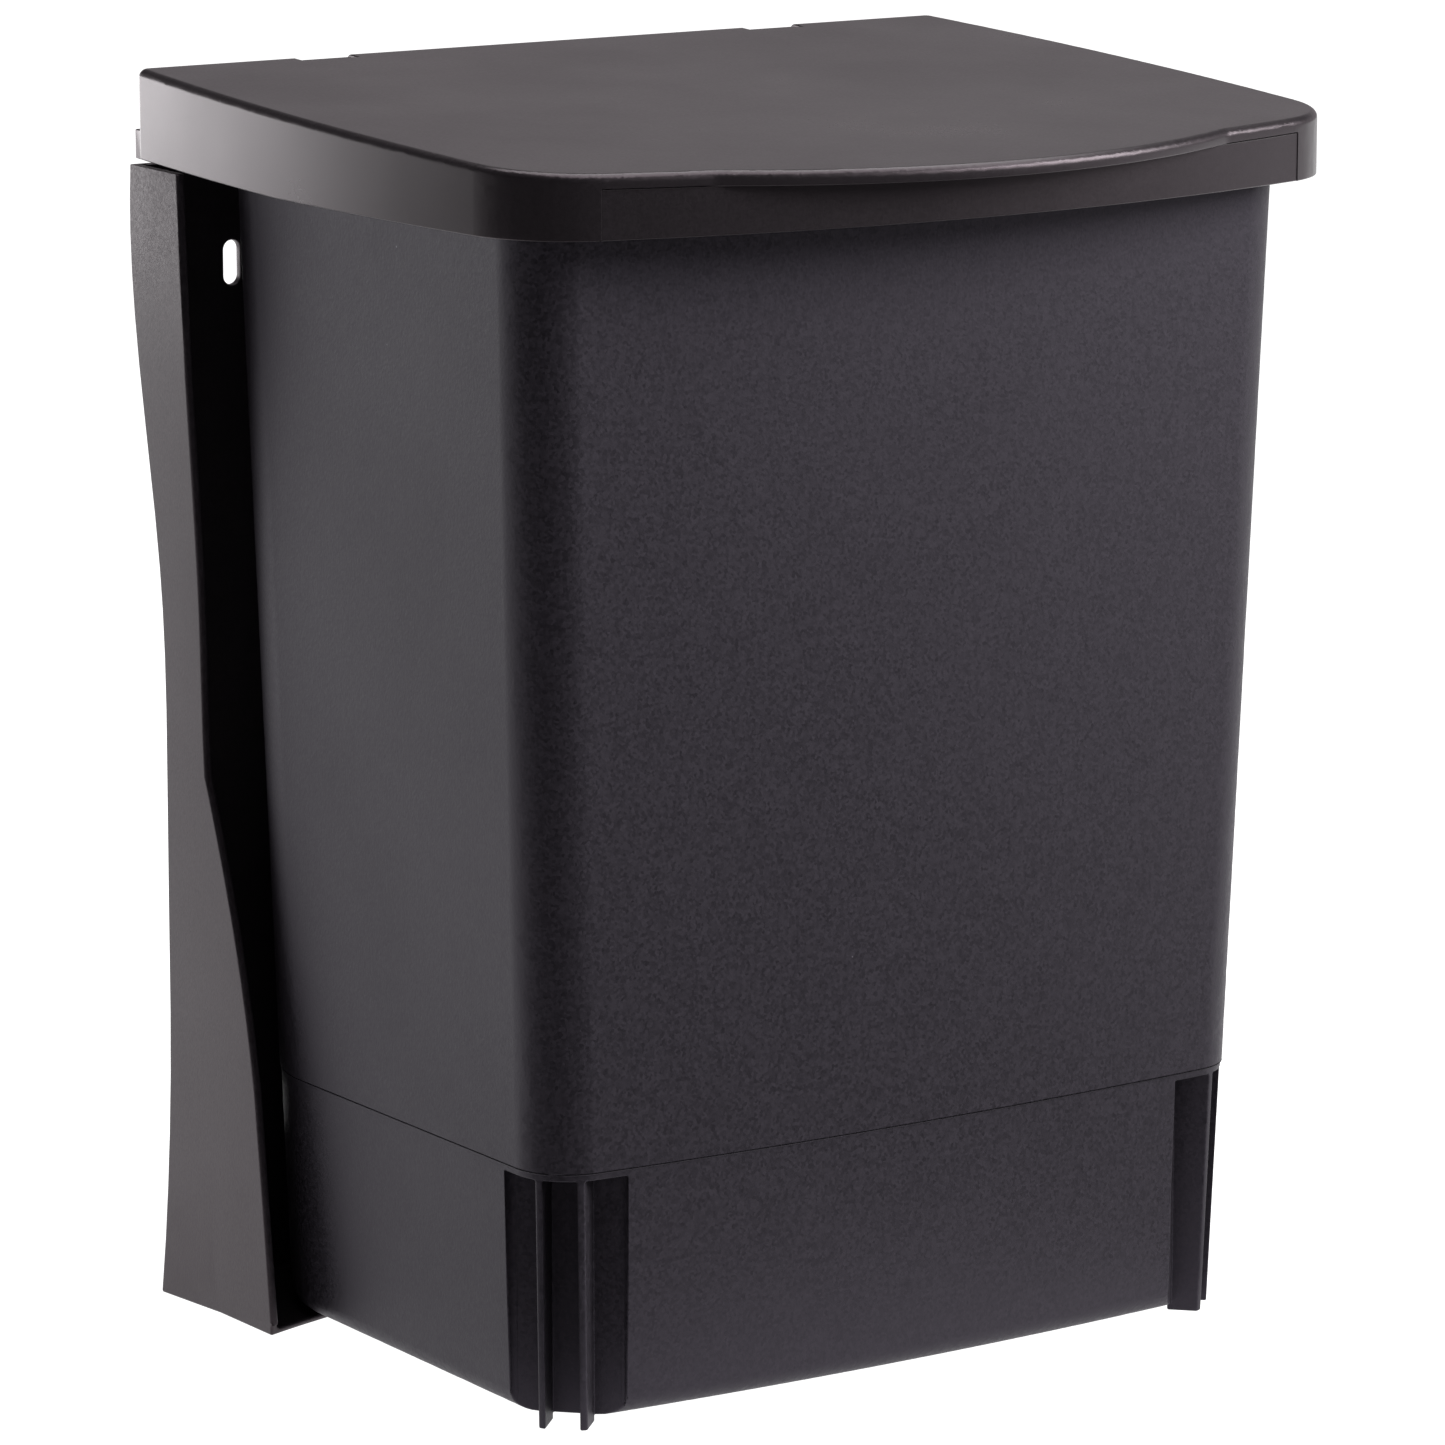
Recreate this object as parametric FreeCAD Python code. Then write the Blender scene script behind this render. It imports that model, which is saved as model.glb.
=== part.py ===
"""Door-mounted waste bin: wall bracket, lift-off bucket and hinged lid.

Frame: the origin is on the door plane (Y = 0), on the mirror plane (X = 0), at the bracket's foot (Z = 0).
The front faces -Y. All sizes are in millimetres.
"""
import FreeCAD, Part
import math
import os

V = FreeCAD.Vector
UP = V(0, 0, 1)

# ---- overall ----
BRACKET_HEIGHT = 314.2
TOP_HALF_WIDTH = 131.7
STEP_FRONT_Y = 176.5
CLEARANCE = 0.4
BEYOND = 400.0  # longer than any side: the reach of cutting tools
OVERCUT = 1.0  # how far a cutting tool passes the face that it opens
ROOT = 0.5  # how deep one wall stands in another

# ---- bracket ----
PLATE_THICKNESS = 3.0
FLANGE_THICKNESS = 2.4
SHELF_THICKNESS = 1.8
SHELF_RELIEF = 34.0
FLANGE_CREASE_Y = -28.0
TOP_FLARE = 1.6
WAIST_HALF_WIDTH = TOP_HALF_WIDTH - 8.2
FOOT_HALF_WIDTH = TOP_HALF_WIDTH - 4.1
FOOT_TAPER = 3.6
CREASE_FOOT_TAPER = 2.9
WAIST_LOW_Z = 60.0
WAIST_HIGH_Z = 196.0
SHOULDER_Z = BRACKET_HEIGHT - 39.2
WAIST_LOW_FLARE = 0.4
WAIST_HIGH_FLARE = 0.7
SHOULDER_INSET = 0.5
FLANGE_DEPTH_TOP = 27.2
FLANGE_DEPTH_SHOULDER = 28.8
FLANGE_DEPTH_WAIST = 20.7
FLANGE_DEPTH_GUSSET = 46.2
FLANGE_DEPTH_FOOT = 55.2
FLANGE_FRONT_Y = -FLANGE_DEPTH_FOOT - 6.0
KINK_Z = 149.0
GUSSET_FOOT_Z = 66.0
GUSSET_BOW = 2.8
KINK_STEP = 0.8
SHOULDER_LEAD = 13.0
HOLLOW_LEAD = 25.0
WAIST_LEAD = 36.0

# ---- screw slots ----
SLOT_WIDTH = 5.2
SLOT_LENGTH = 12.2
SLOT_X = TOP_HALF_WIDTH - 29.7
SLOT_TOP_Z = BRACKET_HEIGHT - 28.5
SLOT_SPACING = 235.0

# ---- bucket ----
BUCKET_TOP_Z = BRACKET_HEIGHT + 6.8
STEP_Z = 69.3
STEP_INSET = 0.4
STEP_HALF_WIDTH = WAIST_HALF_WIDTH - 10.9
STEP_BACK_Y = PLATE_THICKNESS + 9.0
BUCKET_TOP_HALF_WIDTH = TOP_HALF_WIDTH - 11.05
SIDE_DRAFT = (BUCKET_TOP_HALF_WIDTH - STEP_HALF_WIDTH) / (BUCKET_TOP_Z - STEP_Z)
FRONT_DRAFT = 0.023
FRONT_BULGE = 5.2
BUCKET_FRONT_RADIUS = 16.0
BUCKET_REAR_RADIUS = 40.0
BUCKET_WALL = 2.2
BUCKET_FLOOR = 2.6
FLOOR_RADIUS = 6.0
INNER_FLOOR_RADIUS = 4.0
RIM_WIDTH = 3.6
RIM_THICKNESS = 2.2
RIM_EAR_CLEARANCE = 0.88

# ---- corner feet ----
RECESS_WIDTH = 33.0
RECESS_DEPTH = 9.0
RECESS_RADIUS = 3.0
CORNER_X = STEP_HALF_WIDTH - 7.55
CORNER_Y = 4.8 - STEP_FRONT_Y
RIB_SPACING = 11.0
RIB_THICKNESS = 1.9
RIB_REACH = 4.0
RECESS_REACH = 30.0
CORNER_HEADING = 225.0
LEDGE = 2.0

# ---- lid ----
LID_TOP = BRACKET_HEIGHT + 25.8
LID_BACK_Y = -1.0
LID_SKIRT_Z = BRACKET_HEIGHT - 0.7
LID_SKIRT_REAR_Z = BRACKET_HEIGHT + 1.4
LID_REAR_WALL_Z = BRACKET_HEIGHT + 15.3
TAB_TOP_Z = BRACKET_HEIGHT + 9.3
TAB_ROOT = 4.0
SKIRT_RISE_Y = -80.0
LID_REAR_HALF_WIDTH = TOP_HALF_WIDTH - 1.9
LID_MID_HALF_WIDTH = TOP_HALF_WIDTH + 1.7
LID_MID_Y = 68.5 - STEP_FRONT_Y
LID_FRONT_HALF_WIDTH = TOP_HALF_WIDTH - 3.7
LID_FRONT_SIDE_Y = -STEP_FRONT_Y - 16.5
LID_FRONT_Y = -STEP_FRONT_Y - 37.5
LID_CORNER_RADIUS = 31.0
LID_REAR_CORNER_RADIUS = 3.0
LID_SLOPE_DEG = 2.85
LID_TOP_THICKNESS = 2.4
LID_WALL = 2.0
LID_EDGE_RADIUS = 2.2
LIP_HALF_WIDTH = LID_FRONT_HALF_WIDTH - 48.0
LIP_FRONT_Y = LID_FRONT_Y - 10.5
LIP_THICKNESS = 3.8
LIP_BLEND_RADIUS = 14.0
LIP_ROOT = 30.0
LID_BLOCK_HEIGHT = 60.0
LID_BLOCK_Z = LID_SKIRT_Z - 10.0
PANEL_HALF_WIDTH = LID_FRONT_HALF_WIDTH - 19.0
PANEL_DEPTH = 0.3

# ---- hinge ----
HINGE_RADIUS = 4.5
PIN_RADIUS = 1.5
PIN_CHAMFER = 0.4
PIN_RUNNING_CLEARANCE = 0.05
EAR_WIDTH = 16.0
EAR_X = LID_REAR_HALF_WIDTH - 56.8
EAR_ROOT = 8.0
NOTCH_CLEARANCE = 0.6
NOTCH_ROUND_CLEARANCE = 0.2
LUG_WIDTH = 7.5
KNUCKLE_GAP = 0.5

# ---- bucket hooks and bracket rails ----
HOOK_WIDTH = 40.0
HOOK_X = EAR_X - EAR_WIDTH / 2 - HOOK_WIDTH / 2 - 5.0
RAIL_Z = BRACKET_HEIGHT - 20.2
RAIL_TOP_Z = RAIL_Z + 10.0
RAIL_THICKNESS = 2.0
RAIL_MARGIN = 3.0
HOOK_DROP = 4.4
HOOK_THICKNESS = 2.0

BUCKET_BOTTOM_Z = SHELF_THICKNESS + CLEARANCE
HINGE_Y = LID_BACK_Y - HINGE_RADIUS
HINGE_Z = LID_TOP - HINGE_RADIUS
SLOPE = math.tan(math.radians(LID_SLOPE_DEG))
EAR_FRONT_Y = KNUCKLE_GAP + PLATE_THICKNESS - LID_BACK_Y
BUCKET_TOP_BACK_Y = EAR_FRONT_Y + RIM_EAR_CLEARANCE + RIM_WIDTH
BACK_DRAFT = (STEP_BACK_Y - BUCKET_TOP_BACK_Y) / (BUCKET_TOP_Z - STEP_Z)


def box(x0, x1, y0, y1, z0, z1):
    """A box between two corners."""
    return Part.makeBox(x1 - x0, y1 - y0, z1 - z0, V(x0, y0, z0))


def wide_block(y0, y1, z0, z1):
    """A block across the whole width."""
    return box(-BEYOND / 2, BEYOND / 2, y0, y1, z0, z1)


def arc(a, b, c):
    """An arc through three points."""
    return Part.Arc(a, b, c).toShape()


def line(a, b):
    """A straight edge."""
    return Part.LineSegment(a, b).toShape()


def both_sides(shape):
    """The shape and its mirror image across X = 0."""
    return [shape, shape.mirror(V(0, 0, 0), V(1, 0, 0))]


def edges_where(shape, test):
    """The edges whose middle point passes the test."""
    found = []
    for edge in shape.Edges:
        middle = edge.valueAt((edge.FirstParameter + edge.LastParameter) / 2)
        if test(edge, middle):
            found.append(edge)
    return found


def is_upright(edge):
    """True for an edge that runs mostly up and down."""
    ends = edge.Vertexes[-1].Point - edge.Vertexes[0].Point
    return ends.Length > 1 and abs(ends.z) > 0.9 * ends.Length


# ---------------------------------------------------------------- bracket

def bracket_outline(y, top, waist, foot):
    """Closed hourglass outline at one depth, from the foot to the top."""
    heights = [0, WAIST_LOW_Z, (WAIST_LOW_Z + WAIST_HIGH_Z) / 2, WAIST_HIGH_Z,
               (WAIST_HIGH_Z + SHOULDER_Z) / 2, SHOULDER_Z, BRACKET_HEIGHT]
    halves = [foot, waist + WAIST_LOW_FLARE, waist, waist + WAIST_HIGH_FLARE,
              (waist + top) / 2, top - SHOULDER_INSET, top]
    right = Part.BSplineCurve()
    right.interpolate([V(x, y, z) for x, z in zip(halves, heights)])
    left = Part.BSplineCurve()
    left.interpolate([V(-x, y, z) for x, z in zip(halves, heights)][::-1])
    top_edge = line(V(top, y, BRACKET_HEIGHT), V(-top, y, BRACKET_HEIGHT))
    foot_edge = line(V(-foot, y, 0), V(foot, y, 0))
    return Part.Wire([right.toShape(), top_edge, left.toShape(), foot_edge])


def bracket_envelope(inset):
    """The block inside the bracket's side faces, moved in by the inset."""
    top = TOP_HALF_WIDTH - inset
    waist = WAIST_HALF_WIDTH - inset
    foot = FOOT_HALF_WIDTH - inset
    sections = [
        bracket_outline(0, top, waist, foot),
        bracket_outline(FLANGE_CREASE_Y, top + TOP_FLARE / 2, waist, foot - CREASE_FOOT_TAPER),
        bracket_outline(FLANGE_FRONT_Y, top + TOP_FLARE, waist - FOOT_TAPER / 4, foot - FOOT_TAPER),
    ]
    return Part.makeLoft(sections, True, True)


def flange_side_view():
    """The flanges' outline seen from the side, as a block across the whole width."""
    x = -BEYOND / 2
    back_foot = V(x, 0, 0)
    back_top = V(x, 0, BRACKET_HEIGHT)
    front_top = V(x, -FLANGE_DEPTH_TOP, BRACKET_HEIGHT)
    shoulder = V(x, -FLANGE_DEPTH_SHOULDER, SHOULDER_Z + SHOULDER_LEAD)
    hollow_z = (SHOULDER_Z + KINK_Z) / 2 + HOLLOW_LEAD
    middle = V(x, -(FLANGE_DEPTH_SHOULDER + FLANGE_DEPTH_WAIST) / 2, hollow_z)
    waist = V(x, -FLANGE_DEPTH_WAIST, KINK_Z + WAIST_LEAD)
    kink = V(x, -FLANGE_DEPTH_WAIST - KINK_STEP, KINK_Z)
    gusset = V(x, -FLANGE_DEPTH_GUSSET, GUSSET_FOOT_Z)
    bow = V(x, (kink.y + gusset.y) / 2 - GUSSET_BOW, (kink.z + gusset.z) / 2)
    front_foot = V(x, -FLANGE_DEPTH_FOOT, 0)
    edge = Part.BSplineCurve()
    edge.interpolate([front_top, shoulder, middle, waist, kink])
    edges = [line(back_foot, back_top), line(back_top, front_top), edge.toShape(), arc(kink, bow, gusset),
             line(gusset, front_foot), line(front_foot, back_foot)]
    return Part.Face(Part.Wire(edges)).extrude(V(BEYOND, 0, 0))


def shelf_relief():
    """The hollow in the shelf's front edge, shallow at the flanges and deepest on the middle."""
    half = FOOT_HALF_WIDTH - FLANGE_THICKNESS
    left = V(-half, -FLANGE_DEPTH_FOOT, -OVERCUT)
    right = V(half, -FLANGE_DEPTH_FOOT, -OVERCUT)
    front_left = V(-half, FLANGE_FRONT_Y, -OVERCUT)
    front_right = V(half, FLANGE_FRONT_Y, -OVERCUT)
    edges = [arc(left, V(0, -SHELF_RELIEF, -OVERCUT), right), line(right, front_right),
             line(front_right, front_left), line(front_left, left)]
    return Part.Face(Part.Wire(edges)).extrude(UP * (SHELF_THICKNESS + 2 * OVERCUT))


def screw_slot(x, z):
    """An upright slot with round ends through the back plate."""
    r = SLOT_WIDTH / 2
    half = SLOT_LENGTH / 2 - r
    depth = PLATE_THICKNESS + 2 * OVERCUT
    body = box(x - r, x + r, OVERCUT - depth, OVERCUT, z - half, z + half)
    for end in (z - half, z + half):
        body = body.fuse(Part.makeCylinder(r, depth, V(x, OVERCUT, end), V(0, -1, 0)))
    return body.removeSplitter()


def hinge_cylinder(x0, x1, radius):
    """A cylinder round the hinge axis between two places along it."""
    return Part.makeCylinder(radius, x1 - x0, V(x0, HINGE_Y, HINGE_Z), V(1, 0, 0))


def hinge_ear(x):
    """One ear: a strap that rises from the back plate to a knuckle round the hinge pin."""
    half = EAR_WIDTH / 2
    radius = HINGE_RADIUS - KNUCKLE_GAP
    back = HINGE_Y + radius
    root_z = BRACKET_HEIGHT - EAR_ROOT
    strap = box(x - half, x + half, back - PLATE_THICKNESS, back, root_z, HINGE_Z)
    foot = box(x - half, x + half, back - PLATE_THICKNESS, 0, root_z, BRACKET_HEIGHT)
    knuckle = hinge_cylinder(x - half, x + half, radius)
    bore = hinge_cylinder(x - half - OVERCUT, x + half + OVERCUT, PIN_RADIUS)
    return strap.fuse([foot, knuckle]).cut(bore)


def bucket_rail(x):
    """An upturned rail that the bucket's hook drops over."""
    half = HOOK_WIDTH / 2 + RAIL_MARGIN
    back = -PLATE_THICKNESS
    front = back - CLEARANCE - HOOK_THICKNESS - CLEARANCE - RAIL_THICKNESS
    web = box(x - half, x + half, front, back + ROOT, RAIL_Z, RAIL_Z + RAIL_THICKNESS)
    upstand = box(x - half, x + half, front, front + RAIL_THICKNESS, RAIL_Z, RAIL_TOP_Z)
    return web.fuse(upstand)


def wall_bracket():
    """Back plate, two side flanges, shelf, rails and hinge ears in one moulding."""
    inner = bracket_envelope(FLANGE_THICKNESS)
    hollow = inner.common(wide_block(FLANGE_FRONT_Y, -PLATE_THICKNESS, SHELF_THICKNESS, BEYOND))
    body = bracket_envelope(0).common(flange_side_view()).cut(hollow).cut(shelf_relief())
    for z in (SLOT_TOP_Z, SLOT_TOP_Z - SLOT_SPACING):
        for x in (-SLOT_X, SLOT_X):
            body = body.cut(screw_slot(x, z))
    pieces = []
    for x in (-EAR_X, EAR_X):
        pieces.append(hinge_ear(x))
    for x in (-HOOK_X, HOOK_X):
        pieces.append(bucket_rail(x))
    return body.fuse(pieces).removeSplitter()


# ---------------------------------------------------------------- bucket

def half_width(z):
    """The bucket's half width at a height."""
    return STEP_HALF_WIDTH + SIDE_DRAFT * (z - STEP_Z)


def front_depth(z):
    """How far the bucket's front corners stand from the door at a height."""
    return STEP_FRONT_Y + FRONT_DRAFT * (z - STEP_Z)


def back_depth(z):
    """How far the bucket's rear wall stands from the door at a height."""
    return STEP_BACK_Y - BACK_DRAFT * (z - STEP_Z)


def bucket_section(z, inset):
    """The bucket's plan outline at a height: three straight sides and a bowed front."""
    x = half_width(z) - inset
    back = -back_depth(z) - inset
    front = -front_depth(z) + inset
    a = V(x, back, z)
    b = V(x, front, z)
    c = V(-x, front, z)
    d = V(-x, back, z)
    bow = arc(b, V(0, front - FRONT_BULGE, z), c)
    return Part.Wire([line(a, b), bow, line(c, d), line(d, a)])


def bucket_block(z0, z1, inset):
    """A solid tapered block of the bucket's plan with rounded upright corners."""
    block = Part.makeLoft([bucket_section(z0, inset), bucket_section(z1, inset)], True, True)
    middle = -STEP_FRONT_Y / 2
    front = edges_where(block, lambda e, m: is_upright(e) and m.y < middle)
    block = block.makeFillet(BUCKET_FRONT_RADIUS - inset, front)
    rear = edges_where(block, lambda e, m: is_upright(e) and m.y > middle)
    return block.makeFillet(BUCKET_REAR_RADIUS - inset, rear)


def floor_edges(block, z):
    """The edges round a block's bottom face."""
    return edges_where(block, lambda e, m: abs(m.z - z) < 0.01)


def corner_frame(shape):
    """Turn a shape made along +X at the origin to the left front corner's diagonal."""
    placed = shape.copy()
    placed.rotate(V(0, 0, 0), UP, CORNER_HEADING)
    placed.translate(V(-CORNER_X, CORNER_Y, 0))
    return placed


def foot_recess(wall):
    """The hollow of one foot corner, grown inwards by the wall."""
    half = RECESS_WIDTH / 2 + wall
    block = box(-RECESS_DEPTH - wall, RECESS_REACH, -half, half, -OVERCUT, STEP_Z - LEDGE + wall)
    inner = edges_where(block, lambda e, m: is_upright(e) and m.x < 0)
    return corner_frame(block.makeFillet(RECESS_RADIUS, inner))


def foot_ribs():
    """Two parallel ribs that fill a foot corner out to the bucket's own outline."""
    ribs = []
    for y in (-RIB_SPACING / 2, RIB_SPACING / 2):
        rib = box(-RECESS_DEPTH - BUCKET_WALL / 2, RIB_REACH, y - RIB_THICKNESS / 2, y + RIB_THICKNESS / 2,
                  0, STEP_Z - LEDGE + ROOT)
        ribs.append(corner_frame(rib))
    return ribs


def bucket_hook(x):
    """A hook on the rear wall that drops over the bracket's rail."""
    half = HOOK_WIDTH / 2
    back = -PLATE_THICKNESS - CLEARANCE
    under = RAIL_TOP_Z + CLEARANCE
    top = under + HOOK_THICKNESS
    arm = box(x - half, x + half, -back_depth(top) - BUCKET_WALL / 2, back, under, top)
    tip = box(x - half, x + half, back - HOOK_THICKNESS, back, RAIL_TOP_Z - HOOK_DROP, top)
    return arm.fuse(tip)


def bucket_rim():
    """The flat collar round the mouth."""
    below = wide_block(-BEYOND, 0, 0, BUCKET_TOP_Z - RIM_THICKNESS)
    return bucket_block(STEP_Z, BUCKET_TOP_Z, -RIM_WIDTH).cut(below)


def bucket():
    """The lift-off bucket."""
    upper = bucket_block(STEP_Z, BUCKET_TOP_Z, 0)
    lower = bucket_block(BUCKET_BOTTOM_Z, STEP_Z, STEP_INSET)
    lower = lower.makeFillet(FLOOR_RADIUS, floor_edges(lower, BUCKET_BOTTOM_Z))
    recesses = both_sides(foot_recess(0))
    envelope = bucket_block(-OVERCUT, STEP_Z, STEP_INSET)
    ribs = []
    for rib in foot_ribs():
        ribs.extend(both_sides(rib.common(envelope)))
    lower = lower.cut(recesses)
    floor_z = BUCKET_BOTTOM_Z + BUCKET_FLOOR
    cavity = bucket_block(floor_z, BUCKET_TOP_Z + OVERCUT, BUCKET_WALL + STEP_INSET)
    cavity = cavity.makeFillet(INNER_FLOOR_RADIUS, floor_edges(cavity, floor_z))
    cavity = cavity.cut(both_sides(foot_recess(BUCKET_WALL)))
    body = upper.fuse([lower, bucket_rim()]).cut(cavity)
    hooks = [bucket_hook(x) for x in (-HOOK_X, HOOK_X)]
    return body.fuse(ribs + hooks).removeSplitter()


# ---------------------------------------------------------------- lid

def lid_outline(z, inset):
    """The lid's plan outline without its lip."""
    rear = LID_BACK_Y - inset
    a = V(LID_REAR_HALF_WIDTH - inset, rear, z)
    b = V(LID_FRONT_HALF_WIDTH - inset, LID_FRONT_SIDE_Y + inset, z)
    c = V(-b.x, b.y, z)
    d = V(-a.x, a.y, z)
    right = arc(a, V(LID_MID_HALF_WIDTH - inset, LID_MID_Y, z), b)
    front = arc(b, V(0, LID_FRONT_Y + inset, z), c)
    left = arc(c, V(-LID_MID_HALF_WIDTH + inset, LID_MID_Y, z), d)
    return Part.Wire([right, front, left, line(d, a)])


def top_cutter(lowered):
    """Everything above the lid's sloping top, lowered by a thickness."""
    cutter = wide_block(-BEYOND, BEYOND, 0, BEYOND)
    cutter.rotate(V(0, 0, 0), V(1, 0, 0), LID_SLOPE_DEG)
    cutter.translate(V(0, LID_BACK_Y, LID_TOP - lowered))
    return cutter


def lid_block(inset, lowered):
    """The lid's solid block below its sloping top, with rounded plan corners."""
    block = Part.Face(lid_outline(LID_BLOCK_Z, inset)).extrude(UP * LID_BLOCK_HEIGHT)
    front = edges_where(block, lambda e, m: is_upright(e) and m.y < LID_MID_Y)
    block = block.makeFillet(LID_CORNER_RADIUS - inset, front)
    rear = edges_where(block, lambda e, m: is_upright(e) and m.y > LID_BACK_Y - inset - ROOT)
    block = block.makeFillet(LID_REAR_CORNER_RADIUS - inset, rear)
    return block.cut(top_cutter(lowered))


def lid_lip():
    """The thumb lip: a bowed ledge under the sloping top that stands past the skirt."""
    z = LID_SKIRT_Z
    root = LID_FRONT_Y + LIP_ROOT
    a = V(LIP_HALF_WIDTH, lid_front_at(LIP_HALF_WIDTH), z)
    b = V(-a.x, a.y, z)
    bow = arc(a, V(0, LIP_FRONT_Y, z), b)
    back_right = V(a.x, root, z)
    back_left = V(b.x, root, z)
    edges = [bow, line(b, back_left), line(back_left, back_right), line(back_right, a)]
    slab = Part.Face(Part.Wire(edges)).extrude(UP * LID_BLOCK_HEIGHT)
    under = wide_block(-BEYOND, BEYOND, -BEYOND, 0)
    under.rotate(V(0, 0, 0), V(1, 0, 0), LID_SLOPE_DEG)
    under.translate(V(0, LID_BACK_Y, LID_TOP - LIP_THICKNESS))
    return slab.cut([top_cutter(0), under])


def lid_front_at(x):
    """The skirt's front face at a distance from the mirror plane."""
    sagitta = LID_FRONT_SIDE_Y - LID_FRONT_Y
    radius = (LID_FRONT_HALF_WIDTH ** 2 + sagitta ** 2) / (2 * sagitta)
    return LID_FRONT_Y + radius - math.sqrt(radius ** 2 - x ** 2)


def top_edges(block):
    """The outer edges of the sloping top."""
    def on_top(edge, middle):
        level = LID_TOP + (middle.y - LID_BACK_Y) * SLOPE
        return abs(middle.z - level) < 0.02
    return edges_where(block, on_top)


def lid_lugs(x):
    """The two lugs beside one ear."""
    half = EAR_WIDTH / 2 + NOTCH_CLEARANCE
    lugs = []
    for side in (-1, 1):
        inner = x + side * half
        outer = inner + side * LUG_WIDTH
        x0 = min(inner, outer)
        x1 = max(inner, outer)
        barrel = hinge_cylinder(x0, x1, HINGE_RADIUS)
        web = box(x0, x1, HINGE_Y - HINGE_RADIUS, HINGE_Y, HINGE_Z, LID_TOP - LID_TOP_THICKNESS / 2)
        lugs.append(barrel.fuse(web).cut(top_cutter(0)))
    return lugs


def hinge_notch(x):
    """The gap that one ear stands in."""
    half = EAR_WIDTH / 2 + NOTCH_CLEARANCE
    behind = box(x - half, x + half, HINGE_Y, OVERCUT, BRACKET_HEIGHT, LID_TOP + OVERCUT)
    return behind.fuse(hinge_cylinder(x - half, x + half, HINGE_RADIUS + NOTCH_ROUND_CLEARANCE))


def skirt_rise():
    """The wedge below the skirt's lower edge, which climbs towards the hinge."""
    x = -BEYOND / 2
    low = LID_SKIRT_Z - OVERCUT
    points = [V(x, SKIRT_RISE_Y, low), V(x, OVERCUT, low), V(x, OVERCUT, LID_SKIRT_REAR_Z),
              V(x, LID_BACK_Y, LID_SKIRT_REAR_Z), V(x, SKIRT_RISE_Y, LID_SKIRT_Z)]
    return Part.Face(Part.makePolygon(points + points[:1])).extrude(V(BEYOND, 0, 0))


def front_panel():
    """The shallow step that sets the skirt's front panel back from the rim and the corners."""
    side = lid_front_at(PANEL_HALF_WIDTH)
    z = LID_SKIRT_Z - OVERCUT
    a = V(PANEL_HALF_WIDTH, side + PANEL_DEPTH, z)
    b = V(-a.x, a.y, z)
    c = V(b.x, LIP_FRONT_Y - OVERCUT, z)
    d = V(a.x, c.y, z)
    edges = [arc(a, V(0, LID_FRONT_Y + PANEL_DEPTH, z), b), line(b, c), line(c, d), line(d, a)]
    block = Part.Face(Part.Wire(edges)).extrude(UP * LID_BLOCK_HEIGHT)
    return block.cut(top_cutter(LIP_THICKNESS))


def lid():
    """Sloping top, skirt, thumb lip and hinge lugs in one moulding."""
    outer = lid_block(0, 0).fuse(lid_lip()).removeSplitter()
    root_y = lid_front_at(LIP_HALF_WIDTH)
    blend = edges_where(outer, lambda e, m: is_upright(e) and abs(abs(m.x) - LIP_HALF_WIDTH) < ROOT
                        and abs(m.y - root_y) < ROOT)
    outer = outer.makeFillet(LIP_BLEND_RADIUS, blend)
    outer = outer.makeFillet(LID_EDGE_RADIUS, top_edges(outer))
    body = outer.cut(lid_block(LID_WALL, LID_TOP_THICKNESS))
    below = wide_block(-BEYOND, BEYOND, 0, LID_SKIRT_Z)
    inside = LID_REAR_HALF_WIDTH - LID_WALL - OVERCUT
    rear_gap = box(-inside, inside, LID_BACK_Y - LID_WALL - OVERCUT, OVERCUT, 0, LID_REAR_WALL_Z)
    body = body.cut([below, skirt_rise(), rear_gap, front_panel()])
    body = body.fuse(lid_lugs(-EAR_X) + lid_lugs(EAR_X))
    tab = box(LID_REAR_HALF_WIDTH - LID_WALL, LID_REAR_HALF_WIDTH, LID_BACK_Y - TAB_ROOT, 0,
              LID_SKIRT_REAR_Z, TAB_TOP_Z)
    body = body.fuse(both_sides(tab))
    for x in (-EAR_X, EAR_X):
        half = EAR_WIDTH / 2 + NOTCH_CLEARANCE + LUG_WIDTH + OVERCUT
        bore = hinge_cylinder(x - half, x + half, PIN_RADIUS + PIN_RUNNING_CLEARANCE)
        body = body.cut([hinge_notch(x), bore])
    return body.removeSplitter()


# ---------------------------------------------------------------- hinge pins

def hinge_pin(x):
    """A plain pin through one ear and the two lugs beside it, with chamfered ends."""
    half = EAR_WIDTH / 2 + NOTCH_CLEARANCE + LUG_WIDTH
    pin = hinge_cylinder(x - half, x + half, PIN_RADIUS)
    ends = edges_where(pin, lambda e, m: abs(abs(m.x - x) - half) < 0.01)
    return pin.makeChamfer(PIN_CHAMFER, ends)


def main():
    """Write one STEP file per piece."""
    os.makedirs("parts", exist_ok=True)
    pieces = {
        "wall_bracket": wall_bracket(),
        "bucket": bucket(),
        "lid": lid(),
        "hinge_pin_left": hinge_pin(-EAR_X),
        "hinge_pin_right": hinge_pin(EAR_X),
    }
    for name, shape in pieces.items():
        shape.exportStep(os.path.join("parts", name + ".step"))
        print(name, len(shape.Solids), "solids", round(shape.Volume / 1000, 1), "cm3", shape.isValid())


if __name__ == "__main__":
    main()
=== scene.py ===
"""Visual model of a door-mounted waste bin: moulded bracket, lift-off bucket and hinged lid.

Everything is in metres, in the frame of the CAD model: the door plane is Y = 0, the front faces
-Y, and the bracket's foot stands on Z = 0.
"""
import logging
import math
from dataclasses import dataclass
from enum import Enum
from typing import Optional, Union

import bmesh
import bpy
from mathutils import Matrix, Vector
from mathutils.bvhtree import BVHTree


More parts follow.
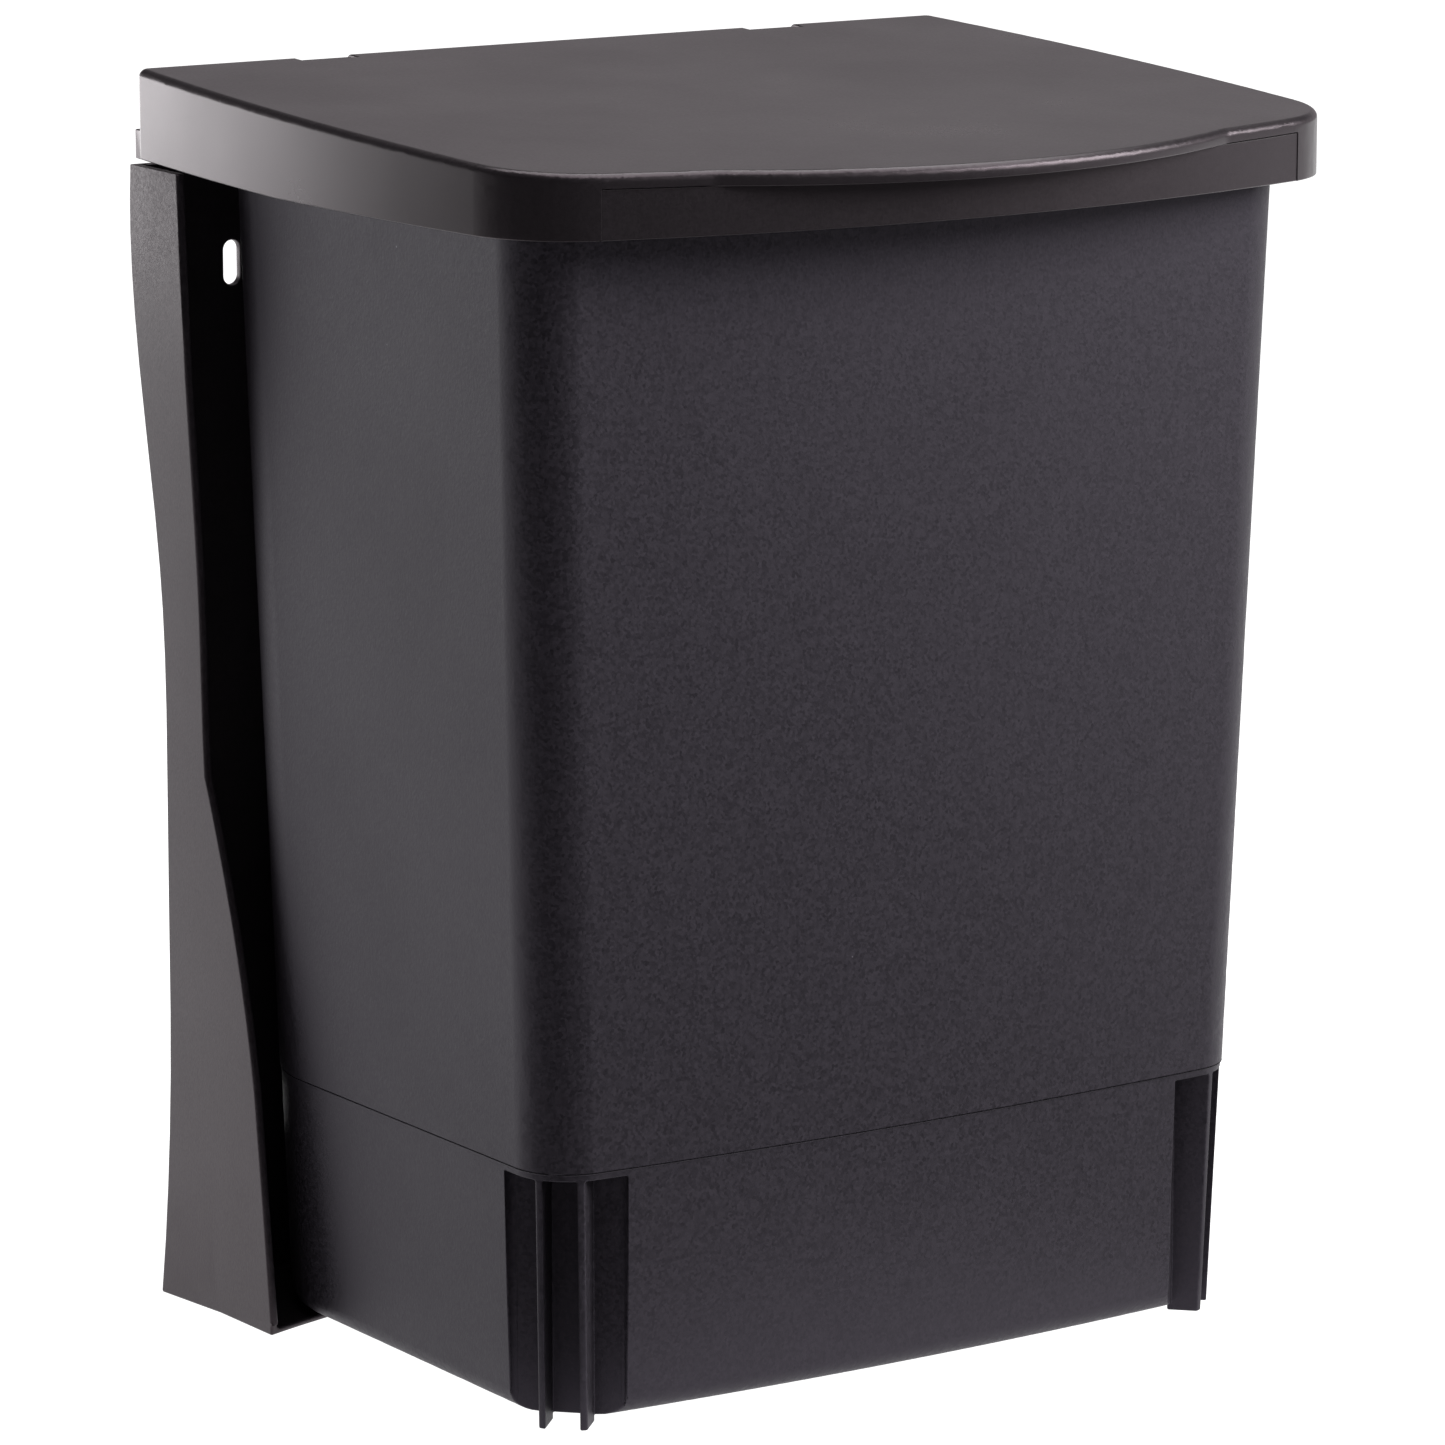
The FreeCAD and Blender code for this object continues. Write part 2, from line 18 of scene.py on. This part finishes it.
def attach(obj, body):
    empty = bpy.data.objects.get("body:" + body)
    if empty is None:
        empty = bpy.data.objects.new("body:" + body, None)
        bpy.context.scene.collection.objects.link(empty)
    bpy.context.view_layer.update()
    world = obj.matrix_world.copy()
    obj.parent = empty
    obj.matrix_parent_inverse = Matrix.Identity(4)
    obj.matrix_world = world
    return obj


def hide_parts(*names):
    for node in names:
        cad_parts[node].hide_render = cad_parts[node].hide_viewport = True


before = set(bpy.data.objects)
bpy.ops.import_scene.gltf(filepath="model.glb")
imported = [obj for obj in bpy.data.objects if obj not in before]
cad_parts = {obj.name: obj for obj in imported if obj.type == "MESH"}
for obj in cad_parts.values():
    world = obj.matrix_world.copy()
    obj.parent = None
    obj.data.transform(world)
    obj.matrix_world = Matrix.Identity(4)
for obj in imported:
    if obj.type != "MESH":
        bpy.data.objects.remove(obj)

LOG = logging.getLogger("waste_bin")
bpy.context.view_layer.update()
MM = 0.001
WHITE = (1.0, 1.0, 1.0, 1.0)
SMOOTH = {"interpolation_type": "SMOOTHSTEP"}

Setting = Union[float, int, str, bool, tuple, list]
Point = tuple[float, float, float]


# ------------------------------------------------------------------ colours and nodes

def linear(hex_colour: str) -> tuple[float, float, float, float]:
    """Turn an sRGB hex colour into Blender's linear colour.

    Args:
        hex_colour: six hex digits after a #.

    Returns:
        Linear red, green, blue and an alpha of 1.
    """
    channels = [int(hex_colour[i:i + 2], 16) / 255 for i in (1, 3, 5)]
    red, green, blue = [c / 12.92 if c <= 0.04045 else ((c + 0.055) / 1.055) ** 2.4
                        for c in channels]
    return red, green, blue, 1.0


def add_node(tree: bpy.types.NodeTree, kind: str, settings: Optional[dict[str, Setting]] = None,
             **inputs: Union[Setting, bpy.types.NodeSocket]) -> bpy.types.Node:
    """Add a node, set its own properties and fill or link its inputs.

    Args:
        tree: the node tree that gets the node.
        kind: the node's Blender type.
        settings: properties of the node itself.
        **inputs: a value or another node's output for each input; an underscore stands for a
            space in the input's name, and in0, in1 ... name inputs by their place.

    Returns:
        The new node.
    """
    node = tree.nodes.new(kind)
    for name, value in (settings or {}).items():
        setattr(node, name, value)
    for name, value in inputs.items():
        by_place = name.startswith("in") and name[2:].isdigit()
        socket = node.inputs[int(name[2:])] if by_place else node.inputs[name.replace("_", " ")]
        if isinstance(value, bpy.types.NodeSocket):
            tree.links.new(value, socket)
        else:
            socket.default_value = value
    return node


def empty_material(name: str) -> bpy.types.Material:
    """Make a node material that holds no nodes yet.

    Args:
        name: the material's name.

    Returns:
        The material.
    """
    material = bpy.data.materials.new(name)
    material.use_nodes = True
    material.node_tree.nodes.clear()
    return material


class Grain(Enum):
    """How coarse a moulding's texture is, as the width of one grain in millimetres."""

    SATIN = 0.55
    FINE = 0.7
    COARSE = 0.85


@dataclass(frozen=True)
class MouldedPolypropylene:
    """Injection-moulded polypropylene, dyed through: a dark body under a soft, uneven sheen.

    The mould's spark-eroded texture gives the grain. The real grain is finer than a render shows,
    so it is drawn at the width that the Grain says. Heights and widths are in millimetres, and
    pattern scales are repeats per metre.
    """

    name: str
    colour: str
    sheen_spread: tuple[float, float]
    grain: Grain
    tint: str
    grain_height: float = 0.03
    grain_gloss: float = 0.07
    grain_shade: float = 0.6
    grain_detail: float = 2.0
    sheen_scale: float = 16.0
    sheen_detail: float = 3.0
    sheen_roughness: float = 0.55
    sheen_range: tuple[float, float] = (0.3, 0.7)
    flow_height: float = 0.06
    flow_scale: float = 9.0
    flow_detail: float = 1.0
    ior: float = 1.49
    dust_colour: str = "#6d6a70"
    dust_spacing: float = 7.0
    dust_rarity: float = 0.9
    dust_edge: tuple[float, float] = (0.02, 0.05)
    dust_cover: float = 0.5

    def build(self) -> bpy.types.Material:
        """Make the material.

        Returns:
            The finished node material.
        """
        material = empty_material(self.name)
        tree = material.node_tree
        place = add_node(tree, "ShaderNodeTexCoord").outputs["Object"]
        gloss, body = self.surface(tree, place)
        normal = self.relief(tree, place)
        fleck = self.dust(tree, place)
        dusty = add_node(tree, "ShaderNodeMix", {"data_type": "RGBA"}, in0=fleck, in6=body,
                         in7=linear(self.dust_colour))
        shader = add_node(tree, "ShaderNodeBsdfPrincipled", Base_Color=dusty.outputs[2],
                          Roughness=gloss, Normal=normal, IOR=self.ior,
                          Specular_Tint=linear(self.tint))
        add_node(tree, "ShaderNodeOutputMaterial", Surface=shader.outputs[0])
        return material

    def surface(self, tree: bpy.types.NodeTree,
                place: bpy.types.NodeSocket) -> tuple[bpy.types.NodeSocket, bpy.types.NodeSocket]:
        """Roughness and body colour: wide patches of sheen, and grains that differ a little.

        Args:
            tree: the material's node tree.
            place: the pattern's coordinates.

        Returns:
            The roughness and the colour.
        """
        patches = add_node(tree, "ShaderNodeTexNoise", Vector=place, Scale=self.sheen_scale,
                           Detail=self.sheen_detail, Roughness=self.sheen_roughness)
        grains = add_node(tree, "ShaderNodeTexVoronoi", {"feature": "F1"}, Vector=place,
                          Scale=1 / (self.grain.value * MM)).outputs["Color"]
        low, high = self.sheen_range
        least, most = self.sheen_spread
        sheen = add_node(tree, "ShaderNodeMapRange", in0=patches.outputs[0], in1=low, in2=high,
                         in3=least, in4=most)
        speckle = add_node(tree, "ShaderNodeMapRange", in0=grains, in1=0.0, in2=1.0,
                           in3=-self.grain_gloss, in4=self.grain_gloss)
        gloss = add_node(tree, "ShaderNodeMath", {"operation": "ADD"}, in0=sheen.outputs[0],
                         in1=speckle.outputs[0])
        shade = add_node(tree, "ShaderNodeMapRange", in0=grains, in1=0.0, in2=1.0,
                         in3=1.0 - self.grain_shade, in4=1.0 + self.grain_shade)
        body = add_node(tree, "ShaderNodeMix", {"data_type": "RGBA", "blend_type": "MULTIPLY"},
                        in0=1.0, in6=linear(self.colour), in7=shade.outputs[0])
        return gloss.outputs[0], body.outputs[2]

    def relief(self, tree: bpy.types.NodeTree,
               place: bpy.types.NodeSocket) -> bpy.types.NodeSocket:
        """The grain on top of the long, shallow waves that a moulded wall has.

        Args:
            tree: the material's node tree.
            place: the pattern's coordinates.

        Returns:
            The surface normal.
        """
        flow = add_node(tree, "ShaderNodeTexNoise", Vector=place, Scale=self.flow_scale,
                        Detail=self.flow_detail)
        grain = add_node(tree, "ShaderNodeTexNoise", Vector=place,
                         Scale=1 / (self.grain.value * MM), Detail=self.grain_detail)
        waves = add_node(tree, "ShaderNodeBump", Strength=1.0, Distance=self.flow_height * MM,
                         Height=flow.outputs[0])
        texture = add_node(tree, "ShaderNodeBump", Strength=1.0, Distance=self.grain_height * MM,
                           Height=grain.outputs[0], Normal=waves.outputs[0])
        return texture.outputs[0]

    def dust(self, tree: bpy.types.NodeTree, place: bpy.types.NodeSocket) -> bpy.types.NodeSocket:
        """Sparse specks of dust, about half a millimetre across.

        Args:
            tree: the material's node tree.
            place: the pattern's coordinates.

        Returns:
            How much dust there is: above 0 on a speck and 0 elsewhere.
        """
        cells = add_node(tree, "ShaderNodeTexVoronoi", {"feature": "F1"}, Vector=place,
                         Scale=1 / (self.dust_spacing * MM))
        chosen = add_node(tree, "ShaderNodeMath", {"operation": "GREATER_THAN"},
                          in0=cells.outputs["Color"], in1=self.dust_rarity)
        core, edge = self.dust_edge
        near = add_node(tree, "ShaderNodeMapRange", in0=cells.outputs["Distance"], in1=core,
                        in2=edge, in3=self.dust_cover, in4=0.0)
        return add_node(tree, "ShaderNodeMath", {"operation": "MULTIPLY"},
                        in0=chosen.outputs[0], in1=near.outputs[0]).outputs[0]


@dataclass(frozen=True)
class DrawnSteel:
    """Cold-drawn steel pin: bright, with fine lines along its length."""

    name: str = "drawn_steel"
    colour: str = "#b9b9bb"
    roughness_spread: tuple[float, float] = (0.20, 0.38)
    lines_per_metre: Point = (60.0, 4000.0, 4000.0)
    line_detail: float = 2.0
    line_range: tuple[float, float] = (0.3, 0.7)
    line_height: float = 0.01
    line_strength: float = 0.6

    def build(self) -> bpy.types.Material:
        """Make the material.

        Returns:
            The finished node material.
        """
        material = empty_material(self.name)
        tree = material.node_tree
        place = add_node(tree, "ShaderNodeTexCoord").outputs["Object"]
        stretched = add_node(tree, "ShaderNodeMapping", Vector=place, Scale=self.lines_per_metre)
        lines = add_node(tree, "ShaderNodeTexNoise", Vector=stretched.outputs[0], Scale=1.0,
                         Detail=self.line_detail).outputs[0]
        low, high = self.line_range
        least, most = self.roughness_spread
        rough = add_node(tree, "ShaderNodeMapRange", in0=lines, in1=low, in2=high, in3=least,
                         in4=most)
        bump = add_node(tree, "ShaderNodeBump", Strength=self.line_strength,
                        Distance=self.line_height * MM, Height=lines)
        shader = add_node(tree, "ShaderNodeBsdfPrincipled", Base_Color=linear(self.colour),
                          Metallic=1.0, Roughness=rough.outputs[0], Normal=bump.outputs[0])
        add_node(tree, "ShaderNodeOutputMaterial", Surface=shader.outputs[0])
        return material


# ------------------------------------------------------------------ mesh helpers

def deselect_all() -> None:
    """Leave nothing selected."""
    for item in bpy.context.selected_objects:
        item.select_set(False)


def make_active(piece: bpy.types.Object) -> None:
    """Select one object alone and make it the active one.

    Args:
        piece: the object.
    """
    deselect_all()
    piece.select_set(True)
    bpy.context.view_layer.objects.active = piece


def apply_modifier(piece: bpy.types.Object, kind: str, settings: dict[str, Setting]) -> None:
    """Add a modifier, set it and apply it.

    Args:
        piece: the object to shape.
        kind: the modifier's Blender type.
        settings: the modifier's properties.
    """
    make_active(piece)
    modifier = piece.modifiers.new(kind.lower(), kind)
    for name, value in settings.items():
        setattr(modifier, name, value)
    bpy.ops.object.modifier_apply(modifier=modifier.name)


@dataclass
class MouldedCopy:
    """A moulded piece made from a CAD node: one welded skin with softened corners.

    A corner's radius shrinks beside a narrow face, such as a ledge or the end of a wall, so that
    the rounding never runs over it. Angles are in degrees.
    """

    node: str
    piece_name: str
    corner_radius: float
    corner_angle: float = 35.0
    corner_steps: int = 2
    face_share: float = 0.42
    stray_share: float = 0.5
    weld_distance: float = 0.002 * MM
    flat_angle: float = 0.4
    smooth_angle: float = 38.0
    normal_weight: int = 100

    def build(self) -> bpy.types.Object:
        """Copy the node, weld it, merge its flat facets and round its corners.

        Returns:
            The new object.
        """
        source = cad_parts[self.node]
        piece = bpy.data.objects.new(self.piece_name, source.data.copy())
        bpy.context.scene.collection.objects.link(piece)
        make_active(piece)
        bpy.ops.object.mode_set(mode="EDIT")
        bpy.ops.mesh.select_all(action="SELECT")
        bpy.ops.mesh.remove_doubles(threshold=self.weld_distance)
        bpy.ops.mesh.dissolve_limited(angle_limit=math.radians(self.flat_angle))
        self.weigh_corners(piece)
        bpy.ops.object.mode_set(mode="OBJECT")
        piece.data.materials.clear()
        apply_modifier(piece, "BEVEL", {
            "width": self.corner_radius,
            "segments": self.corner_steps,
            "limit_method": "WEIGHT",
            "use_clamp_overlap": False,
            "miter_outer": "MITER_ARC",
        })
        strays = self.press_strays(piece, source.data)
        LOG.info("%s: %d stray corners pressed back", self.piece_name, strays)
        make_active(piece)
        bpy.ops.object.shade_smooth_by_angle(angle=math.radians(self.smooth_angle))
        apply_modifier(piece, "WEIGHTED_NORMAL",
                       {"keep_sharp": True, "weight": self.normal_weight})
        return piece

    def press_strays(self, piece: bpy.types.Object, skin: bpy.types.Mesh) -> int:
        """Put corners that the rounding threw off the moulding back onto it.

        Whatever that flattens is dropped.

        Args:
            piece: the rounded object.
            skin: the moulding before its corners were rounded.

        Returns:
            How many corners were put back.
        """
        surface = BVHTree.FromPolygons([corner.co for corner in skin.vertices],
                                       [tuple(face.vertices) for face in skin.polygons])
        mesh = bmesh.new()
        mesh.from_mesh(piece.data)
        strays = 0
        for corner in mesh.verts:
            nearest, _, _, distance = surface.find_nearest(corner.co)
            if distance > self.stray_share * self.corner_radius:
                corner.co = nearest
                strays += 1
        bmesh.ops.dissolve_degenerate(mesh, dist=self.weld_distance, edges=mesh.edges)
        mesh.to_mesh(piece.data)
        mesh.free()
        return strays

    def weigh_corners(self, piece: bpy.types.Object) -> None:
        """Give each sharp edge its share of the corner radius.

        Args:
            piece: the object being edited.
        """
        mesh = bmesh.from_edit_mesh(piece.data)
        layer = mesh.edges.layers.float.new("bevel_weight_edge")
        sharp = math.radians(self.corner_angle)
        for edge in mesh.edges:
            if len(edge.link_faces) != 2 or edge.calc_face_angle(0.0) < sharp:
                continue
            room = min(self.face_reach(edge, face) for face in edge.link_faces)
            edge[layer] = min(1.0, self.face_share * room / self.corner_radius)
        bmesh.update_edit_mesh(piece.data)

    @staticmethod
    def face_reach(edge: bmesh.types.BMEdge, face: bmesh.types.BMFace) -> float:
        """How far a face reaches from one of its edges, measured square to that edge.

        Args:
            edge: the edge.
            face: a face beside it.

        Returns:
            The distance in metres.
        """
        start = edge.verts[0].co
        along = (edge.verts[1].co - start).normalized()
        inwards = face.normal.cross(along)
        return max(abs((corner.co - start).dot(inwards)) for corner in face.verts)


def settle(piece: bpy.types.Object, material: bpy.types.Material, body: str) -> None:
    """Dress a finished piece and put it on its body.

    Args:
        piece: the finished object.
        material: what it is made of.
        body: the CAD body it moves with.
    """
    piece.data.materials.clear()
    piece.data.materials.append(material)
    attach(piece, body)
    LOG.info("%s: %d faces on %s", piece.name, len(piece.data.polygons), body)


# ------------------------------------------------------------------ sub-assemblies

@dataclass
class Bracket:
    """The moulding that is screwed to the door, with its two hinge pins."""

    corner_radius: float = 0.7 * MM
    # Moulded polypropylene from a finely eroded mould: near black, with a mild, warm sheen.
    plastic: MouldedPolypropylene = MouldedPolypropylene(
        "moulded_polypropylene_bracket", "#161417", (0.42, 0.48), Grain.FINE, "#ffeaf5")
    # Drawn steel wire: bright where light gets in between the knuckles.
    steel: DrawnSteel = DrawnSteel()

    def build(self) -> None:
        """Make the bracket's skin and dress the pins."""
        skin = MouldedCopy("wall_bracket", "bracket_moulding", self.corner_radius).build()
        settle(skin, self.plastic.build(), "bracket")
        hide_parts("wall_bracket")
        steel = self.steel.build()
        for name in ("hinge_pin_left", "hinge_pin_right"):
            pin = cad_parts[name]
            pin.data.materials.clear()
            pin.data.materials.append(steel)
            LOG.info("%s: dressed in %s", name, steel.name)


@dataclass
class Bucket:
    """The lift-off bucket."""

    corner_radius: float = 0.45 * MM
    # Moulded polypropylene from a coarsely eroded mould: the mattest and bluest of the three.
    plastic: MouldedPolypropylene = MouldedPolypropylene(
        "moulded_polypropylene_bucket", "#171518", (0.53, 0.57), Grain.COARSE, "#f2e6ff",
        grain_height=0.05, ior=1.43)

    def build(self) -> None:
        """Make the bucket's skin."""
        skin = MouldedCopy("bucket", "bucket_moulding", self.corner_radius).build()
        settle(skin, self.plastic.build(), "bucket")
        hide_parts("bucket")


@dataclass
class Lid:
    """The hinged lid with its thumb lip."""

    corner_radius: float = 0.35 * MM
    # Moulded polypropylene from a satin mould: smooth, with long clear highlights on its edges.
    plastic: MouldedPolypropylene = MouldedPolypropylene(
        "moulded_polypropylene_lid", "#161416", (0.28, 0.33), Grain.SATIN, "#ffeaf5",
        grain_height=0.004, grain_gloss=0.02, grain_shade=0.2, flow_height=0.03)

    def build(self) -> None:
        """Make the lid's skin."""
        skin = MouldedCopy("lid", "lid_moulding", self.corner_radius).build()
        settle(skin, self.plastic.build(), "lid")
        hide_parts("lid")


# ------------------------------------------------------------------ studio

@dataclass(frozen=True)
class SoftBox:
    """A rectangular soft light: where it hangs, what it faces, its size and its power in watts."""

    name: str
    place: Point
    target: Point
    size: tuple[float, float]
    power: float

    def hang(self) -> None:
        """Make the light and hang it, out of the camera's sight."""
        data = bpy.data.lights.new(self.name, "AREA")
        data.shape = "RECTANGLE"
        data.size, data.size_y = self.size
        data.energy = self.power
        light = bpy.data.objects.new(self.name, data)
        light.location = self.place
        direction = Vector(self.target) - Vector(self.place)
        light.rotation_euler = direction.to_track_quat("-Z", "Y").to_euler()
        light.visible_camera = False
        bpy.context.scene.collection.objects.link(light)


class DarkShape(Enum):
    """The two parts of the painted dark reflection, as how a cylinder's ends are filled."""

    WALL = "NOTHING"
    FLOOR = "NGON"


@dataclass(frozen=True)
class PaintedReflectionShade:
    """Painted dark reflection: a near-black sheet in one sector round the bin that thins out at
    its ends.

    The headings are in degrees round the bin: where the painted shade begins, is whole, begins to
    thin and ends. The distances are how far out it begins and is whole.
    """

    name: str
    headings: tuple[float, float, float, float]
    cover: float
    distances: tuple[float, float] = (0.13, 0.17)
    level: float = 0.02

    def build(self) -> bpy.types.Material:
        """Make the material.

        Returns:
            The finished node material.
        """
        material = empty_material(self.name)
        tree = material.node_tree
        place = add_node(tree, "ShaderNodeTexCoord").outputs["Object"]
        parts = add_node(tree, "ShaderNodeSeparateXYZ", in0=place)
        forward = add_node(tree, "ShaderNodeMath", {"operation": "MULTIPLY"},
                           in0=parts.outputs[1], in1=-1.0)
        heading = add_node(tree, "ShaderNodeMath", {"operation": "ARCTAN2"},
                           in0=parts.outputs[0], in1=forward.outputs[0]).outputs[0]
        begin, whole, fade, end = [math.radians(angle) for angle in self.headings]
        risen = add_node(tree, "ShaderNodeMapRange", SMOOTH, in0=heading, in1=begin, in2=whole,
                         in3=0.0, in4=1.0)
        fallen = add_node(tree, "ShaderNodeMapRange", SMOOTH, in0=heading, in1=fade, in2=end,
                          in3=1.0, in4=0.0)
        around = add_node(tree, "ShaderNodeMath", {"operation": "MULTIPLY"},
                          in0=risen.outputs[0], in1=fallen.outputs[0])
        level = add_node(tree, "ShaderNodeCombineXYZ", in0=parts.outputs[0],
                         in1=parts.outputs[1])
        distance = add_node(tree, "ShaderNodeVectorMath", {"operation": "LENGTH"},
                            in0=level.outputs[0])
        inner, outer = self.distances
        outside = add_node(tree, "ShaderNodeMapRange", SMOOTH, in0=distance.outputs["Value"],
                           in1=inner, in2=outer, in3=0.0, in4=self.cover)
        cover = add_node(tree, "ShaderNodeMath", {"operation": "MULTIPLY"},
                         in0=around.outputs[0], in1=outside.outputs[0])
        # Painted dark reflection: a faint near-black glow where the cover is whole, clear
        # elsewhere.
        clear = add_node(tree, "ShaderNodeBsdfTransparent")
        dark = add_node(tree, "ShaderNodeEmission", Color=WHITE, Strength=self.level)
        both = add_node(tree, "ShaderNodeMixShader", in0=cover.outputs[0], in1=clear.outputs[0],
                        in2=dark.outputs[0])
        add_node(tree, "ShaderNodeOutputMaterial", Surface=both.outputs[0])
        return material


@dataclass
class Studio:
    """Camera, pale floor, soft lights and dark sheets that paint shade into the bin's reflections.
    """

    camera_place: Point = (-1.0433, -1.6534, 0.5430)
    camera_target: Point = (-0.01392, -0.110, 0.16673)
    lens: float = 175.6
    sensor_width: float = 36.0
    camera_reach: float = 60.0
    floor_size: float = 14.0
    floor_colour: str = "#8a898a"
    floor_glow: float = 1.1
    sky_colour: str = "#fff6fa"
    sky_levels: tuple[float, float] = (0.46, 0.10)
    sky_heights: tuple[float, float] = (0.22, 0.42)
    sky_seen: float = 1.25
    shade_radius: float = 0.75
    shade_height: float = 0.75
    shade_centre: float = -0.1
    shade_sides: int = 96
    # The large box over the bin, the one at the front right that lights the front and the lid's
    # rounded edge, and the lit lower part of the background.
    soft_boxes: tuple[SoftBox, ...] = (
        SoftBox("overhead_softbox", (0.2, -0.1, 1.25), (0.1, -0.1, 0.3), (1.3, 1.2), 16.0),
        SoftBox("front_softbox", (0.9, -1.0, 0.86), (0.0, -0.15, 0.2), (0.9, 0.6), 34.0),
        SoftBox("backdrop_glow", (-1.0, 1.65, 0.22), (-0.1, 0.0, 0.2), (2.1, 0.42), 15.0),
    )
    # Painted dark reflections: near-black sheets that only the bin's gloss sees, so it finds no
    # light there.
    wall_cloth: PaintedReflectionShade = PaintedReflectionShade("dark_room_wall_cloth", (-156.0, -130.0, 20.0, 80.0), 1.0)
    floor_cloth: PaintedReflectionShade = PaintedReflectionShade("dark_room_floor_cloth", (-118.0, -66.0, 30.0, 90.0), 0.9)

    def build(self) -> None:
        """Make the whole studio."""
        self.camera()
        self.floor()
        self.world()
        for box in self.soft_boxes:
            box.hang()
        # Painted shade in the bin's reflections, from a round wall and a floor of dark sheets.
        self.dark_part("dark_room_wall", DarkShape.WALL, self.wall_cloth)
        self.dark_part("dark_room_floor", DarkShape.FLOOR, self.floor_cloth)
        LOG.info("studio: camera, floor, world and %d soft lights", len(self.soft_boxes))

    def camera(self) -> None:
        """A long lens from the front left, a little above the bin."""
        data = bpy.data.cameras.new("camera")
        data.lens = self.lens
        data.sensor_width = self.sensor_width
        data.clip_end = self.camera_reach
        camera = bpy.data.objects.new("camera", data)
        camera.location = self.camera_place
        direction = Vector(self.camera_target) - Vector(self.camera_place)
        camera.rotation_euler = direction.to_track_quat("-Z", "Y").to_euler()
        bpy.context.scene.collection.objects.link(camera)
        bpy.context.scene.camera = camera

    def floor(self) -> None:
        """A wide sweep of matt white acrylic, lit evenly through from below."""
        deselect_all()
        bpy.ops.mesh.primitive_plane_add(size=self.floor_size, location=(0, 0, 0))
        floor = bpy.context.object
        floor.name = "studio_floor"
        # Opal acrylic: no gloss, and so bright by itself that shadows hardly show on it.
        material = empty_material("white_acrylic_sweep")
        tree = material.node_tree
        lit = add_node(tree, "ShaderNodeBsdfDiffuse", Color=linear(self.floor_colour))
        glow = add_node(tree, "ShaderNodeEmission", Color=WHITE, Strength=self.floor_glow)
        both = add_node(tree, "ShaderNodeAddShader", in0=lit.outputs[0], in1=glow.outputs[0])
        add_node(tree, "ShaderNodeOutputMaterial", Surface=both.outputs[0])
        floor.data.materials.append(material)

    def world(self) -> None:
        """White behind the bin, and for its light bright near the horizon and dim above it."""
        world = bpy.data.worlds.new("studio")
        bpy.context.scene.world = world
        world.use_nodes = True
        tree = world.node_tree
        tree.nodes.clear()
        direction = add_node(tree, "ShaderNodeTexCoord").outputs["Generated"]
        height = add_node(tree, "ShaderNodeSeparateXYZ", in0=direction).outputs[2]
        low, high = self.sky_heights
        bright, dim = self.sky_levels
        sky = add_node(tree, "ShaderNodeMapRange", SMOOTH, in0=height, in1=low, in2=high,
                       in3=bright, in4=dim)
        seen = add_node(tree, "ShaderNodeLightPath").outputs["Is Camera Ray"]
        level = add_node(tree, "ShaderNodeMix", {"data_type": "FLOAT"}, in0=seen,
                         in2=sky.outputs[0], in3=self.sky_seen)
        glow = add_node(tree, "ShaderNodeBackground", Color=linear(self.sky_colour),
                        Strength=level.outputs[0])
        add_node(tree, "ShaderNodeOutputWorld", Surface=glow.outputs[0])

    def dark_part(self, name: str, shape: DarkShape, cloth: PaintedReflectionShade) -> None:
        """One piece of painted dark reflection, round the camera, that only the bin's gloss sees.

        Args:
            name: the piece's name.
            shape: the round wall, or the floor inside it.
            cloth: the painted dark reflection that it carries.
        """
        deselect_all()
        middle = (0, self.shade_centre, self.shade_height / 2 + MM)
        bpy.ops.mesh.primitive_cylinder_add(vertices=self.shade_sides, radius=self.shade_radius,
                                            depth=self.shade_height, end_fill_type=shape.value,
                                            location=middle)
        piece = bpy.context.object
        piece.name = name
        if shape is DarkShape.FLOOR:
            self.keep_foot(piece)
        piece.data.materials.append(cloth.build())
        # Seen by glossy rays alone: it paints dark reflections, blocks no light and casts no
        # shadow.
        piece.visible_camera = False
        piece.visible_diffuse = False
        piece.visible_shadow = False

    @staticmethod
    def keep_foot(piece: bpy.types.Object) -> None:
        """Delete all of a closed cylinder but its lower end.

        Args:
            piece: the cylinder.
        """
        faces_down = -0.9
        bpy.ops.object.mode_set(mode="EDIT")
        mesh = bmesh.from_edit_mesh(piece.data)
        for face in mesh.faces:
            face.select_set(face.normal.z > faces_down)
        bmesh.update_edit_mesh(piece.data)
        bpy.ops.mesh.delete(type="FACE")
        bpy.ops.object.mode_set(mode="OBJECT")


def main() -> None:
    """Build the studio and the sub-assemblies in order."""
    logging.basicConfig(level=logging.INFO, format="%(message)s")
    bpy.context.scene.view_settings.view_transform = "Standard"
    Studio().build()
    Bracket().build()
    Bucket().build()
    Lid().build()


if __name__ == "__main__":
    main()
